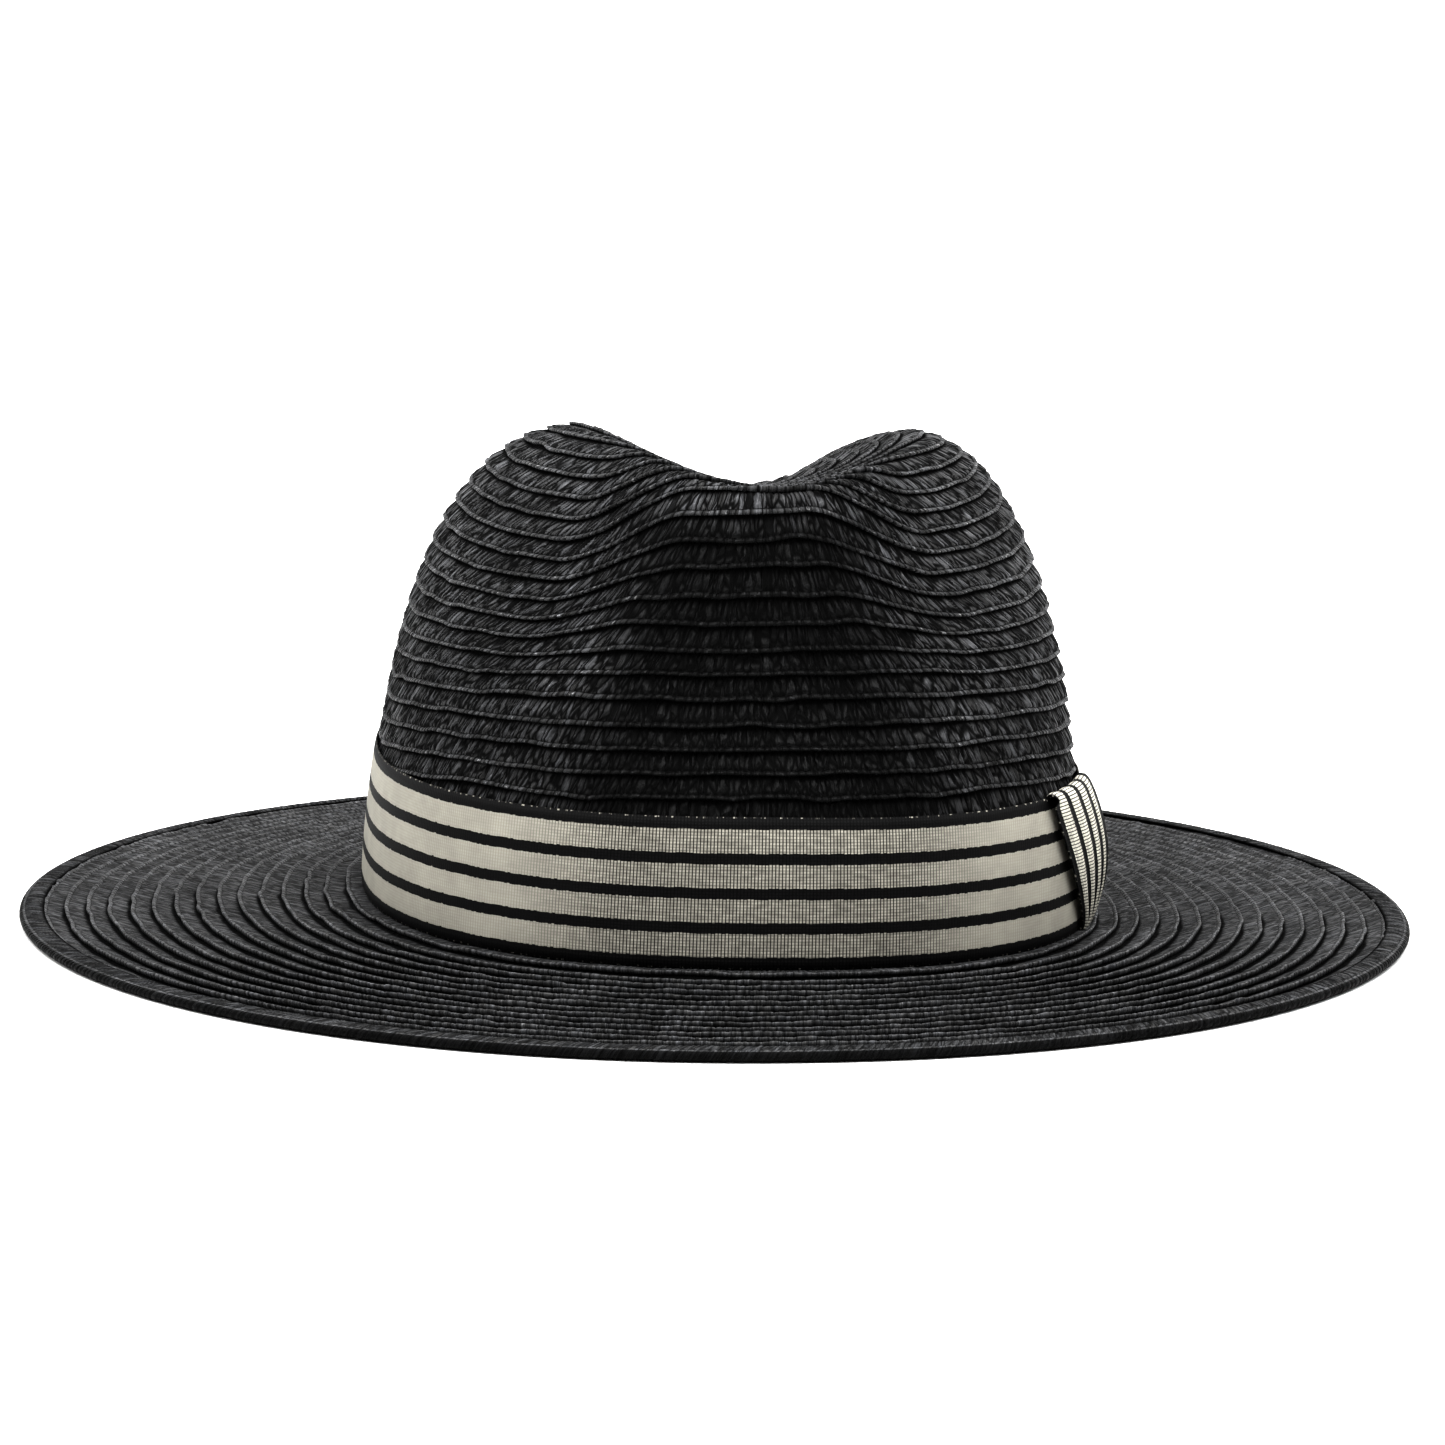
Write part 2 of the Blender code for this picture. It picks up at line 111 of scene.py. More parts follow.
# Ribbon
RIBBON_STRIPE = 0.0055
RIBBON_GROUND = 0.00255
RIBBON_MARGIN = 0.0028
RIBBON_HEIGHT = 2 * RIBBON_MARGIN + 4 * RIBBON_STRIPE + 3 * RIBBON_GROUND
RIBBON_BOTTOM = FOLD_Z + 0.0014
RIBBON_OUT = 0.0019             # from the crown's surface to the ribbon's face
RIBBON_THICKNESS = 0.0004
RIBBON_LAP = math.radians(7)    # how far past the wrap's middle one end lies; the other half as far
RIB, PICK = 0.00082, 0.00072    # spacing of the ribbon's ribs and of its picks
WRAP_MIDDLE = math.radians(-31)
WRAP_FRONT, WRAP_BACK = -40.5, -20.0    # its two edges at the top, in degrees from +X
WRAP_FRONT_TURN, WRAP_BACK_TURN = 11.5, 1.0     # how far each edge has turned at the foot
WRAP_BULGE = 0.0028             # how far the wrap's back edge stands off the ribbon, half way down
WRAP_CURL = 0.0016              # how far its front edge curls outward at the top
WRAP_GATHER = 0.00035           # height of its gathers, three quarters of the way down
WRAP_SWAY = math.radians(1.1)   # how far its middle swings aside, half way down
TACK_THREAD, STITCH_THREAD = 0.00026, 0.00022   # radius of the thread

FRONT, BACK = math.radians(270), math.radians(90)


# -------------------- shape of the hat

def smooth_step(value, low, high):
    step = np.clip((value - low) / (high - low), 0.0, 1.0)
    return step * step * (3.0 - 2.0 * step)


def soft_max(one, other, radius):
    """The larger of two heights, with their meeting line rounded."""
    return 0.5 * (one + other + np.sqrt((one - other) ** 2 + radius * radius))


def unit_outline(angle, power):
    """A superellipse of half-width 1, at angles from +X."""
    across, along = np.cos(angle), np.sin(angle)
    size = (np.abs(across) ** power + np.abs(along) ** power) ** (-1.0 / power)
    return across * size, along * size


def dome(rise, angle):
    """The crown before it is creased; rise runs from 0 at the base to 1 in the middle of the top."""
    turn = rise * math.pi / 2
    half_width = CROWN_HALF_WIDTH * np.cos(turn) ** (2 / WALL_POWER)
    height = CROWN_HEIGHT * np.sin(turn) ** (2 / TOP_POWER)
    corners = FRONT_CORNERS * smooth_step(height, 0.060, 0.115) * (np.sin(angle) < 0)
    across, along = unit_outline(angle, CROWN_SQUARENESS + corners)
    y = (half_width + CROWN_EXTRA_LENGTH) * along
    return half_width * across, y, height * (1 - BACK_SLOPE * y * smooth_step(height, 0.050, 0.120))


def crease_height(x, y):
    """The lengthwise valley on top: a bell-shaped trough whose floor falls towards the back."""
    floor = np.interp(y, list(CREASE_FLOOR), list(CREASE_FLOOR.values()))
    return CREASE_TOP - (CREASE_TOP - floor) * np.exp(-(((x - CREASE_SHIFT) / CREASE_HALF_WIDTH) ** 2))


def facet_depth(height):
    """Where the flat front facet holds the wall back: a leaning plane with a slight hollow."""
    plane = FACET_FOOT_Y + FACET_SLOPE * (height - FACET_FOOT_Z)
    hollow = np.exp(-(((height - FACET_HOLLOW_Z) / FACET_HOLLOW_HEIGHT) ** 2))
    return plane + FACET_HOLLOW * hollow


def crown_surface(rise, angle):
    """Points of the finished crown, in the crown's own upright axes."""
    x, y, z = np.broadcast_arrays(*dome(rise, angle))
    y = np.where(y < 0, soft_max(y, facet_depth(z), PRESS_RADIUS), y)
    z = -soft_max(-z, -crease_height(x, y), PRESS_RADIUS)
    return np.stack([x, y, z], axis=-1)


def settle(points):
    """Leans and shifts the crown on the brim."""
    x, y, z = np.moveaxis(points, -1, 0)
    moved = [x + LEAN_SIDEWAYS * LEAN * z + CROWN_SHIFT, y, z - LEAN * x]
    return np.stack(moved, axis=-1)


def row_drift(row, angle):
    """How far the rows of braid wander up the crown, which was pressed into shape after sewing.

    They rise from the sides to the front and back, step up over the facet, and stand a little
    higher on the wearer's left.
    """
    def by_row(table):
        return np.interp(row, list(table), list(table.values()))

    from_side = ((np.sin(angle) ** 2 + 0.01) ** 0.3 - 0.25) / 0.75
    from_facet = np.abs(np.degrees(angle) - FACET_MIDDLE)
    reach = by_row(FACET_HALF_ANGLE)
    on_facet = 1 - smooth_step(from_facet, reach - FACET_SOFTNESS, reach + FACET_SOFTNESS)
    drift = by_row(ROW_RISE) * from_side + by_row(FACET_RISE) * on_facet
    return drift + by_row(LEFT_RISE) * (1 + np.cos(angle))


# -------------------- smooth surfaces to lay things on

class Surface:
    """Points and outward normals, read from a grid of lines round the hat.

    The lines are numbered by rising positions: rows of braid, or heights.
    """

    def __init__(self, positions, points):
        self.positions = positions
        self.points = points
        around = np.roll(points, -1, axis=1) - np.roll(points, 1, axis=1)
        normal = np.cross(around, np.gradient(points, axis=0))
        self.normals = normal / (np.linalg.norm(normal, axis=2, keepdims=True) + 1e-12)

    def at(self, position, angle):
        position, angle = np.broadcast_arrays(position, angle)
        lines, columns = self.points.shape[:2]
        row = np.interp(position, self.positions, np.arange(lines))
        column = np.mod(angle, 2 * math.pi) * columns / (2 * math.pi)
        below = np.minimum(row.astype(int), lines - 2)
        left = column.astype(int) % columns
        right = (left + 1) % columns
        up = (row - below)[..., None]
        along = (column - np.floor(column))[..., None]
        found = []
        for grid in (self.points, self.normals):
            low = grid[below, left] * (1 - along) + grid[below, right] * along
            high = grid[below + 1, left] * (1 - along) + grid[below + 1, right] * along
            found.append(low * (1 - up) + high * up)
        return found

    def lifted(self, position, angle, offset):
        points, normals = self.at(position, angle)
        return points + normals * offset[..., None]


GRID_ANGLES = np.arange(720) * 2 * math.pi / 720


def rise_samples():
    """Rises that are closer together near the middle of the top, where the dome closes quickly."""
    return 1 - (1 - np.linspace(0.0, 1.0, 700)) ** 2.5


def crown_grids():
    """The crown twice: with its lines at rows of braid, and with its lines at heights of the wall."""
    surface = crown_surface(rise_samples()[:, None], GRID_ANGLES[None, :])
    steps = np.linalg.norm(np.diff(surface, axis=0), axis=2)
    length = np.vstack([np.zeros(len(GRID_ANGLES)), np.cumsum(steps, axis=0)])
    rows = np.linspace(-0.5, CROWN_ROWS, 253)
    heights = np.linspace(0.001, 0.060, 60)
    by_row = np.empty((len(rows), len(GRID_ANGLES), 3))
    by_height = np.empty((len(heights), len(GRID_ANGLES), 3))
    late = np.clip((rows - SHOULDER_ROW) / (CROWN_ROWS - SHOULDER_ROW), 0, 1) ** 1.5
    wall = rise_samples() < 0.7     # to well above these heights
    for column, angle in enumerate(GRID_ANGLES):
        start = np.interp(FOLD_Z, surface[wall, column, 2], length[wall, column])
        spare = length[-1, column] - start - ROW_PITCH * CROWN_ROWS
        wanted = start + ROW_PITCH * rows + spare * late + row_drift(rows, angle)
        for axis in range(3):
            line = surface[:, column, axis]
            by_row[:, column, axis] = np.interp(wanted, length[:, column], line)
            by_height[:, column, axis] = np.interp(heights, surface[wall, column, 2], line[wall])
    return Surface(rows, settle(by_row)), Surface(heights, settle(by_height))


def brim_grid():
    """The brim, with its lines at rows of braid counted out from the fold."""
    angle = GRID_ANGLES
    x, y = unit_outline(angle, CROWN_SQUARENESS)
    half_length = CROWN_HALF_WIDTH + CROWN_EXTRA_LENGTH
    fold = settle(np.stack([CROWN_HALF_WIDTH * x, half_length * y, np.full_like(x, FOLD_Z)], -1))
    x, y = unit_outline(angle, BRIM_SQUARENESS)
    edge = np.stack([BRIM_HALF_WIDTH * x, BRIM_HALF_LENGTH * y, np.full_like(x, EDGE_HALF_HEIGHT)], -1)
    last = BRIM_ROWS + EDGE_WIDTH / BRIM_ROW
    rows = np.linspace(-0.5, last, 130)
    share = (rows / last)[:, None, None]
    points = fold + (edge - fold) * share
    slope = np.clip(1 - share[..., 0], 0, 2) ** 1.5
    points[..., 2] = edge[..., 2] + (fold[..., 2] - edge[..., 2]) * slope
    points[..., 2] += FILLET * np.exp(-(rows**2))[:, None]
    surface = Surface(rows, points)
    surface.normals = -surface.normals
    return surface


crown_by_row, crown_by_height = crown_grids()
brim_by_row = brim_grid()


# -------------------- meshes

def finish_piece(piece, look, slot, *nodes):
    piece.data.materials.append(look)
    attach(piece, "root")
    if nodes:
        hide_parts(*nodes)
    return piece


def signed_volume(points, quads):
    a, b, c, d = (points[quads[:, i]] for i in range(4))
    return np.sum(np.cross(c - a, d - b) * (a + b + c + d))


def grid_piece(name, points, uv, closed=False):
    """A mesh of one or more tubes, from grids of points (tube, along, across).

    Each row of points is a loop. closed joins the last row to the first; without it the two ends
    are capped.
    """
    if points.ndim == 3:
        points, uv = points[None], uv[None]
    tubes, along, across = points.shape[:3]
    number = np.arange(tubes * along * across).reshape(tubes, along, across)
    first = number if closed else number[:, :-1]
    second = np.roll(number, -1, axis=1) if closed else number[:, 1:]
    corners = [first, np.roll(first, -1, 2), np.roll(second, -1, 2), second]
    quads = np.stack(corners, axis=-1).reshape(-1, 4)
    ends = [] if closed else [*number[:, 0, ::-1], *number[:, -1]]
    points = points.reshape(-1, 3)
    if signed_volume(points, quads) < 0:
        quads = quads[:, ::-1]
        ends = [end[::-1] for end in ends]
    loops = np.concatenate([quads.ravel(), *ends])
    sizes = np.array([4] * len(quads) + [len(end) for end in ends])
    mesh = bpy.data.meshes.new(name)
    mesh.vertices.add(len(points))
    mesh.vertices.foreach_set("co", points.astype(np.float32).ravel())
    mesh.loops.add(len(loops))
    mesh.loops.foreach_set("vertex_index", loops.astype(np.int32))
    mesh.polygons.add(len(sizes))
    starts = np.concatenate([[0], np.cumsum(sizes)[:-1]])
    mesh.polygons.foreach_set("loop_start", starts.astype(np.int32))
    mesh.polygons.foreach_set("use_smooth", np.ones(len(sizes), bool))
    layer = mesh.uv_layers.new(name="cloth")
    layer.data.foreach_set("uv", uv.reshape(-1, 2)[loops].astype(np.float32).ravel())
    mesh.update(calc_edges=True)
    piece = bpy.data.objects.new(name, mesh)
    bpy.context.scene.collection.objects.link(piece)
    return piece


def thin_sheet(name, outer, inner, uv):
    """A closed sheet between an outer and an inner grid of points (along, across)."""
    points = np.concatenate([outer, inner[:, ::-1]], axis=1)
    return grid_piece(name, points, np.concatenate([uv, uv[:, ::-1]], axis=1))


# -------------------- the braid

def uneven_borders(length, mean, chance):
    """Places along a strip where one strand ends and the next begins."""
    widths = mean * chance.uniform(0.55, 1.55, int(length / mean * 1.2) + 8)
    return np.cumsum(widths) - 4 * mean, widths


def plump(position, borders, widths, softness, chance):
    """Strand number and height at each position: 0 in the crack between strands, about 1 on them."""
    number = np.interp(position, borders, np.arange(len(borders), dtype=float))
    index = number.astype(int)
    share = number - index
    depth = chance.uniform(0.45, 1.0, len(borders) + 2)
    to_low = share * widths[np.minimum(index + 1, len(widths) - 1)]
    to_high = (1 - share) * widths[np.minimum(index + 1, len(widths) - 1)]
    low = depth[index] * np.exp(-((to_low / softness) ** 2))
    high = depth[index + 1] * np.exp(-((to_high / softness) ** 2))
    size = chance.uniform(0.8, 1.15, len(borders) + 2)
    return number, size[index] * (1 - np.maximum(low, high))


def slant(angle, row):
    """Lean of the strands along the strip, in widths of the strip.

    It changes sides at the front, and is stronger high on the crown and far out on the brim.
    """
    return -(0.25 + 0.4 * smooth_step(row, 7, 12)) * np.sin(2 * (angle - FRONT))


# Shares of the strip's width, from the tucked inner edge over the face to the lip
FACE = np.array([
    0.0, 0.15, 0.23, 0.32, 0.42, 0.52, 0.62, 0.72, 0.80,
    LIP_START, 0.87, 0.90, 0.94, 0.98, 1.0,
])
REVERSE = np.array([0.97, 0.55, 0.10])


def face_height(share):
    """The strip's own tilt: tucked low at its inner edge, proud at the lip."""
    return TILT * share - TUCK_DEPTH


def plait_profile(share, strands, beads, relief):
    """Height of the strip's face above the surface it lies on."""
    body = smooth_step(share, 0.0, 0.2) * (1 - smooth_step(share, LIP_START - 0.07, LIP_START))
    across_lip = np.clip((share - LIP_START) / (1 - LIP_START), 0, 1)
    lip = np.sqrt(np.clip(np.sin(math.pi * across_lip), 0, 1)) * (share > LIP_START)
    tucked_edge = TUCK_RISE * (1 - smooth_step(share, 0.0, 0.12))
    face = face_height(share) + tucked_edge + relief * body * strands
    return face + LIP_RELIEF * lip * (0.35 + 0.65 * beads)


def back_advance(turns):
    """Rows gained after a number of turns. The strip steps from row to row behind the hat."""
    whole = np.floor(turns)
    part = turns - whole
    return whole + 0.5 * smooth_step(part, 0.0, 0.25) + 0.5 * smooth_step(part, 0.75, 1.0)


def even_turns(surface, edge_row, first, last):
    """Turns at even steps along the strip, and the length at each."""
    turns = np.linspace(first, last, int((last - first) * 360))
    middle = surface.at(edge_row(turns), BACK + 2 * math.pi * turns)[0]
    length = np.concatenate([[0], np.cumsum(np.linalg.norm(np.diff(middle, axis=0), axis=1))])
    even = np.arange(0, length[-1], STEP)
    return np.interp(even, length, turns), even


def wandering(length, spacing, chance):
    """A smooth random number along the strip, about 1 in size."""
    knots = chance.normal(size=int(length[-1] / spacing) + 2)
    place = length / spacing
    index = place.astype(int)
    return knots[index] + (knots[index + 1] - knots[index]) * smooth_step(place - index, 0.0, 1.0)


def plait(name, surface, edge_row, inward, first, last, relief, seed):
    """A stretch of the strip, laid on a surface between two turns."""
    chance = np.random.default_rng(seed)
    turns, length = even_turns(surface, edge_row, first, last)
    angle = (BACK + 2 * math.pi * turns)[:, None]
    width = ROW_PITCH * (1 + LAP)
    share = np.concatenate([FACE, REVERSE])[None, :]
    sway = SWAY / ROW_PITCH * wandering(length, SWAY_SPACING, chance)
    row = (edge_row(turns) + sway)[:, None] + inward * (1 - share) * (1 + LAP)
    leaning = length[:, None] + slant(angle, edge_row(turns)[:, None]) * width * (share - 0.5)
    strand_borders, strand_widths = uneven_borders(length[-1] + 0.02, STRAND, chance)
    bead_borders, bead_widths = uneven_borders(length[-1] + 0.02, BEAD, chance)
    number, strands = plump(leaning, strand_borders, strand_widths, STRAND_CRACK, chance)
    beads = plump(length[:, None] + 0 * share, bead_borders, bead_widths, BEAD_CRACK, chance)[1]
    swell = SWELL * wandering(length, SWELL_SPACING, chance)
    height = plait_profile(share, strands, beads, relief) + swell[:, None] * share
    reverse = np.arange(share.shape[1]) >= len(FACE)
    under = face_height(share) - BRAID_THICKNESS - 0.5 * relief * strands * (share < 0.9)
    height = np.where(reverse[None, :], under, height)
    height[:, len(FACE) - 1] = face_height(1.0) - 0.25 * BRAID_THICKNESS
    height *= 1 - TOP_FLATTENING * smooth_step(row, SHOULDER_ROW, TOP_ROW)
    points = surface.lifted(row, angle, height)
    points[..., 2] = np.maximum(points[..., 2], 0.0)    # nothing lies below the resting surface
    uv = np.stack(np.broadcast_arrays(number, share), axis=-1)
    return grid_piece(name, points, uv)


def make_crown(look):
    """The spiral from the middle of the top down to the fold, in the CAD model's two stretches."""
    def edge_row(turns):
        return CROWN_ROWS - back_advance(turns)

    start, whole_turns = 0.04, CROWN_ROWS + 0.3
    tip = plait("crown_tip_plait", crown_by_row, edge_row, 1, start, TIP_ROWS, CROWN_RELIEF, 11)
    side = plait("side_crown_plait", crown_by_row, edge_row, 1, TIP_ROWS, whole_turns, CROWN_RELIEF, 12)
    finish_piece(tip, look, "black_straw", "crown_tip_braid")
    finish_piece(side, look, "black_straw", "side_crown_braid")


def make_brim(look):
    """The spiral carried on from the fold to the rolled edge."""
    def edge_row(turns):
        return back_advance(turns) - 0.5

    brim = plait("brim_plait", brim_by_row, edge_row, -1, 0.6, BRIM_ROWS + 1.2, BRIM_RELIEF, 13)
    finish_piece(brim, look, "black_straw", "brim_braid")


ROLLED = 1.1                    # share of the strip's width that marks the rim of the rolled row


def edge_section():
    """The rolled row's outer line, as (distance in from the rim, height), from top to underside."""
    top = [(inset, EDGE_HALF_HEIGHT) for inset in np.linspace(EDGE_WIDTH, EDGE_BEND, 8)[:-1]]
    turn = np.linspace(math.pi / 2, -math.pi / 2, 11)
    rim = [(EDGE_BEND * (1 - math.cos(a)), EDGE_HALF_HEIGHT * math.sin(a)) for a in turn]
    return np.array(top + rim + [(inset, -height) for inset, height in top[::-1]])


def make_edge(look):
    """The last row of braid, rolled round the brim's edge, with its strands running over the rim."""
    chance = np.random.default_rng(14)
    section = edge_section()
    count = int(EDGE_LENGTH / STEP)
    angle = np.arange(count) * 2 * math.pi / count
    x, y = unit_outline(angle, BRIM_SQUARENESS)
    rim = np.stack([BRIM_HALF_WIDTH * x, BRIM_HALF_LENGTH * y, 0 * x + EDGE_HALF_HEIGHT], -1)
    along = np.roll(rim, -1, axis=0) - np.roll(rim, 1, axis=0)
    outward = np.stack([along[:, 1], -along[:, 0], 0 * x], -1)
    outward /= np.linalg.norm(outward, axis=1, keepdims=True)
    steps = np.linalg.norm(np.roll(rim, -1, axis=0) - rim, axis=1)
    length = np.concatenate([[0], np.cumsum(steps)[:-1]])
    path = np.concatenate([[0], np.cumsum(np.linalg.norm(np.diff(section, axis=0), axis=1))])
    slope = np.gradient(section, axis=0)
    normal = np.stack([slope[:, 1], -slope[:, 0]], 1)
    normal /= np.linalg.norm(normal, axis=1, keepdims=True)
    borders, widths = uneven_borders(length[-1] + 0.04, STRAND, chance)
    leaning = length[:, None] + 0.01 + 0.45 * path[None, :]
    number, strands = plump(leaning, borders, widths, STRAND_CRACK, chance)
    rim_start = EDGE_WIDTH - EDGE_BEND
    rise = 0.0012
    window = smooth_step(path, 0.0, rise) * (1 - 0.6 * smooth_step(path, rim_start - 0.001, rim_start))
    height = -EDGE_SUNK + EDGE_RELIEF * strands * window
    outer = section[None] + normal[None] * height[..., None]
    inner = np.broadcast_to(section - normal * EDGE_SKIN, outer.shape)[:, ::-1]
    ring = np.concatenate([outer, inner], axis=1)
    points = rim[:, None] - outward[:, None] * ring[..., :1]
    points[..., 2] += ring[..., 1]
    # These shares make the straw's painted shade darken the rolled row's inner edge and its rim
    across = np.interp(path, [0, rise, rim_start, rim_start + 0.0014], [0.19, 0.36, 0.70, ROLLED])
    share = np.broadcast_to(across, outer.shape[:2])
    uv = np.stack([number, share], -1)
    piece = grid_piece("brim_edge_roll", points, np.concatenate([uv, uv[:, ::-1]], 1), closed=True)
    finish_piece(piece, look, "black_straw", "brim_edge_braid")


# -------------------- ribbon, wrap and inside

def wall_sheet(name, around, heights, offset, thickness, uv):
    """A thin sheet on the crown's wall; heights and offset may vary along and across."""
    angle = around[:, None]
    heights = np.broadcast_to(heights, (len(around), heights.shape[-1]))
    offset = np.broadcast_to(offset, heights.shape)
    outer = crown_by_height.lifted(heights, angle, offset)
    inner = crown_by_height.lifted(heights, angle, offset - thickness)
    return thin_sheet(name, outer, inner, uv)


def arc_length(around, height, offset):
    line = crown_by_height.lifted(np.full_like(around, height), around, np.full_like(around, offset))
    return np.concatenate([[0], np.cumsum(np.linalg.norm(np.diff(line, axis=0), axis=1))])


def make_ribbon(look):
    once_round = WRAP_MIDDLE + 2 * math.pi
    around = np.linspace(WRAP_MIDDLE - RIBBON_LAP, once_round + RIBBON_LAP / 2, 900)
    share = np.linspace(0, 1, 19)
    length = arc_length(around, RIBBON_BOTTOM + RIBBON_HEIGHT / 2, RIBBON_OUT)
    # The last stretch rises, to lie over the first
    over = 0.0008 * smooth_step(around, once_round - 3 * RIBBON_LAP, once_round - RIBBON_LAP)
    ripple = 0.00012 * np.sin(length[:, None] / 0.031) * np.sin(length[:, None] / 0.0173 + 5 * share)
    edges = 0.0002 * (2 * share - 1) ** 8
    offset = RIBBON_OUT + over[:, None] + ripple - edges
    uv = np.stack(np.broadcast_arrays(length[:, None], share * RIBBON_HEIGHT), -1)
    heights = RIBBON_BOTTOM + RIBBON_HEIGHT * share
    ribbon = wall_sheet("hatband_striped_ribbon", around, heights, offset, RIBBON_THICKNESS, uv)
    finish_piece(ribbon, look, "striped_ribbon", "hatband_ribbon")


def wrap_route():
    """The wrap's middle line, as (offset from the crown, height, how far down the front it is)."""
    top = RIBBON_BOTTOM + RIBBON_HEIGHT
    behind = 0.0010
    return np.array([
        (behind, top - 0.0050, 0.0),
        (behind, top - 0.0010, 0.0),
        (0.0014, top + 0.0004, 0.0),
        (0.0026, top + 0.0006, 0.0),
        (0.0038, top - 0.0002, 0.01),
        (0.0043, top - 0.0030, 0.10),
        (0.0047, top - 0.0100, 0.30),
        (0.0050, top - 0.0180, 0.52),
        (0.0048, top - 0.0260, 0.74),
        (0.0042, RIBBON_BOTTOM + 0.0030, 0.93),
        (0.0034, RIBBON_BOTTOM + 0.0002, 0.99),
        (0.0022, RIBBON_BOTTOM - 0.0008, 1.0),
        (0.0012, RIBBON_BOTTOM - 0.0002, 1.0),
        (behind, RIBBON_BOTTOM + 0.0050, 1.0),
    ])


def refine(points, count):
    """A smooth line through points, with evenly spaced steps (Catmull-Rom)."""
    ends = np.vstack([2 * points[0] - points[1], points, 2 * points[-1] - points[-2]])
    place = np.linspace(0, len(points) - 1, 40 * len(points))
    index = np.minimum(place.astype(int), len(points) - 2)
    t = (place - index)[:, None]
    a, b, c, d = (ends[index + i] for i in range(4))
    bend = (c - a) * t + (2 * a - 5 * b + 4 * c - d) * t**2 + (3 * b - a - 3 * c + d) * t**3
    line = b + 0.5 * bend
    length = np.concatenate([[0], np.cumsum(np.linalg.norm(np.diff(line[:, :2], axis=0), axis=1))])
    even = np.linspace(0, length[-1], count)
    return np.stack([np.interp(even, length, line[:, i]) for i in range(line.shape[1])], -1), even


def make_wrap(look):
    """A short length of the ribbon, upright, gathered and drawn in towards its foot."""
    route, length = refine(wrap_route(), 90)
    share = np.linspace(0, 1, 61)
    fall = np.clip(route[:, 2:3], 0.0, 1.0)
    front = np.radians(WRAP_FRONT + WRAP_FRONT_TURN * fall**1.4)
    back = np.radians(WRAP_BACK + WRAP_BACK_TURN * fall)
    sway = WRAP_SWAY * np.sin(math.pi * fall) * np.sin(math.pi * share)
    angle = front + (back - front) * share**1.15 + sway
    bulge = WRAP_BULGE * np.sin(math.pi * fall) * share
    curl = WRAP_CURL * smooth_step(-share, -0.14, 0.0) * np.exp(-(((fall - 0.02) / 0.04) ** 2))
    slope = np.gradient(route[:, :2], axis=0)
    normal = np.stack([slope[:, 1], -slope[:, 0]], 1)
    normal /= np.linalg.norm(normal, axis=1, keepdims=True)
    gather = WRAP_GATHER * (0.25 + fall) * np.sin(share * 2 * math.pi * 4.5 + 0.8 * fall)
    grids = []
    for side in (0.5, -0.5):
        shift = -gather + side * RIBBON_THICKNESS
        offset = route[:, 0:1] + bulge + curl - normal[:, 0:1] * shift
        height = route[:, 1:2] - normal[:, 1:2] * shift
        grids.append(crown_by_height.lifted(height, angle, offset))
    uv = np.stack(np.broadcast_arrays(length[:, None], share * RIBBON_HEIGHT), -1)
    wrap = thin_sheet("hatband_gathered_wrap", grids[0], grids[1], uv)
    finish_piece(wrap, look, "striped_ribbon", "hatband_wrap")


def thread_tubes(routes, radius, turns, steps=48):
    """Two plies of thread wound round each other along each route, as grids for grid_piece."""
    wind = np.linspace(0, turns * 2 * math.pi, steps)[:, None]
    ring = np.arange(8) * math.pi / 4
    tubes = []
    for route in routes:
        line = refine(np.asarray(route), steps)[0]
        along = np.gradient(line, axis=0)
        along /= np.linalg.norm(along, axis=1, keepdims=True)
        beside = np.cross(along, [0.31, 0.17, 0.94])
        beside /= np.linalg.norm(beside, axis=1, keepdims=True)
        above = np.cross(beside, along)
        around = np.cos(ring)[:, None] * beside[:, None] + np.sin(ring)[:, None] * above[:, None]
        for ply in (0, math.pi):
            centre = line + 0.45 * radius * (np.cos(wind + ply) * beside + np.sin(wind + ply) * above)
            tubes.append(centre[:, None] + 0.55 * radius * around)
    tubes = np.array(tubes)
    length = np.broadcast_to(np.arange(steps)[None, :, None] / steps, tubes.shape[:3])
    return tubes, np.stack([length, np.broadcast_to(ring / math.pi, tubes.shape[:3])], -1)


def wall_point(angle, height, offset):
    return crown_by_height.lifted(np.array([height]), np.array([angle]), np.array([offset]))[0]


TACKS = [
    ("tack_stitch_back", "band_tack_back", 90),
    ("tack_stitch_left", "band_tack_left_side", 38),
    ("tack_stitch_right", "band_tack_right_side", 142),
]


def make_tack(name, node, angle, look):
    """A stitch over the ribbon's top edge, into the braid."""
    top = RIBBON_BOTTOM + RIBBON_HEIGHT
    path = [
        (RIBBON_OUT - 0.0003, top - 0.0026),
        (RIBBON_OUT + 0.0003, top - 0.0022),
        (RIBBON_OUT + 0.0004, top - 0.0008),
        (RIBBON_OUT + 0.0003, top + 0.0003),
        (RIBBON_OUT - 0.0004, top + 0.0010),
        (RIBBON_OUT - 0.0014, top + 0.0014),
    ]
    lean = np.linspace(-0.004, 0.004, len(path))
    route = [wall_point(angle + turn, z, out) for turn, (out, z) in zip(lean, path)]
    piece = grid_piece(name, *thread_tubes([route], TACK_THREAD, 5))
    finish_piece(piece, look, "thread", node)


SWEATBAND_FACE = -0.0021        # from the crown's surface to the sweatband's inner face
SWEATBAND_LOW, SWEATBAND_HIGH = FOLD_Z + 0.0006, FOLD_Z + 0.0310
STITCHES, STITCH_SHARE = 150, 0.62              # how many, and how much of its space each one takes
STITCH_HEIGHT = SWEATBAND_LOW + 0.0032
TAPE_EXTENT = (0.007, 0.001, 0.030)
LABEL_EXTENT, LABEL_ANGLE = (0.009, 0.010, 0.026), math.radians(74)


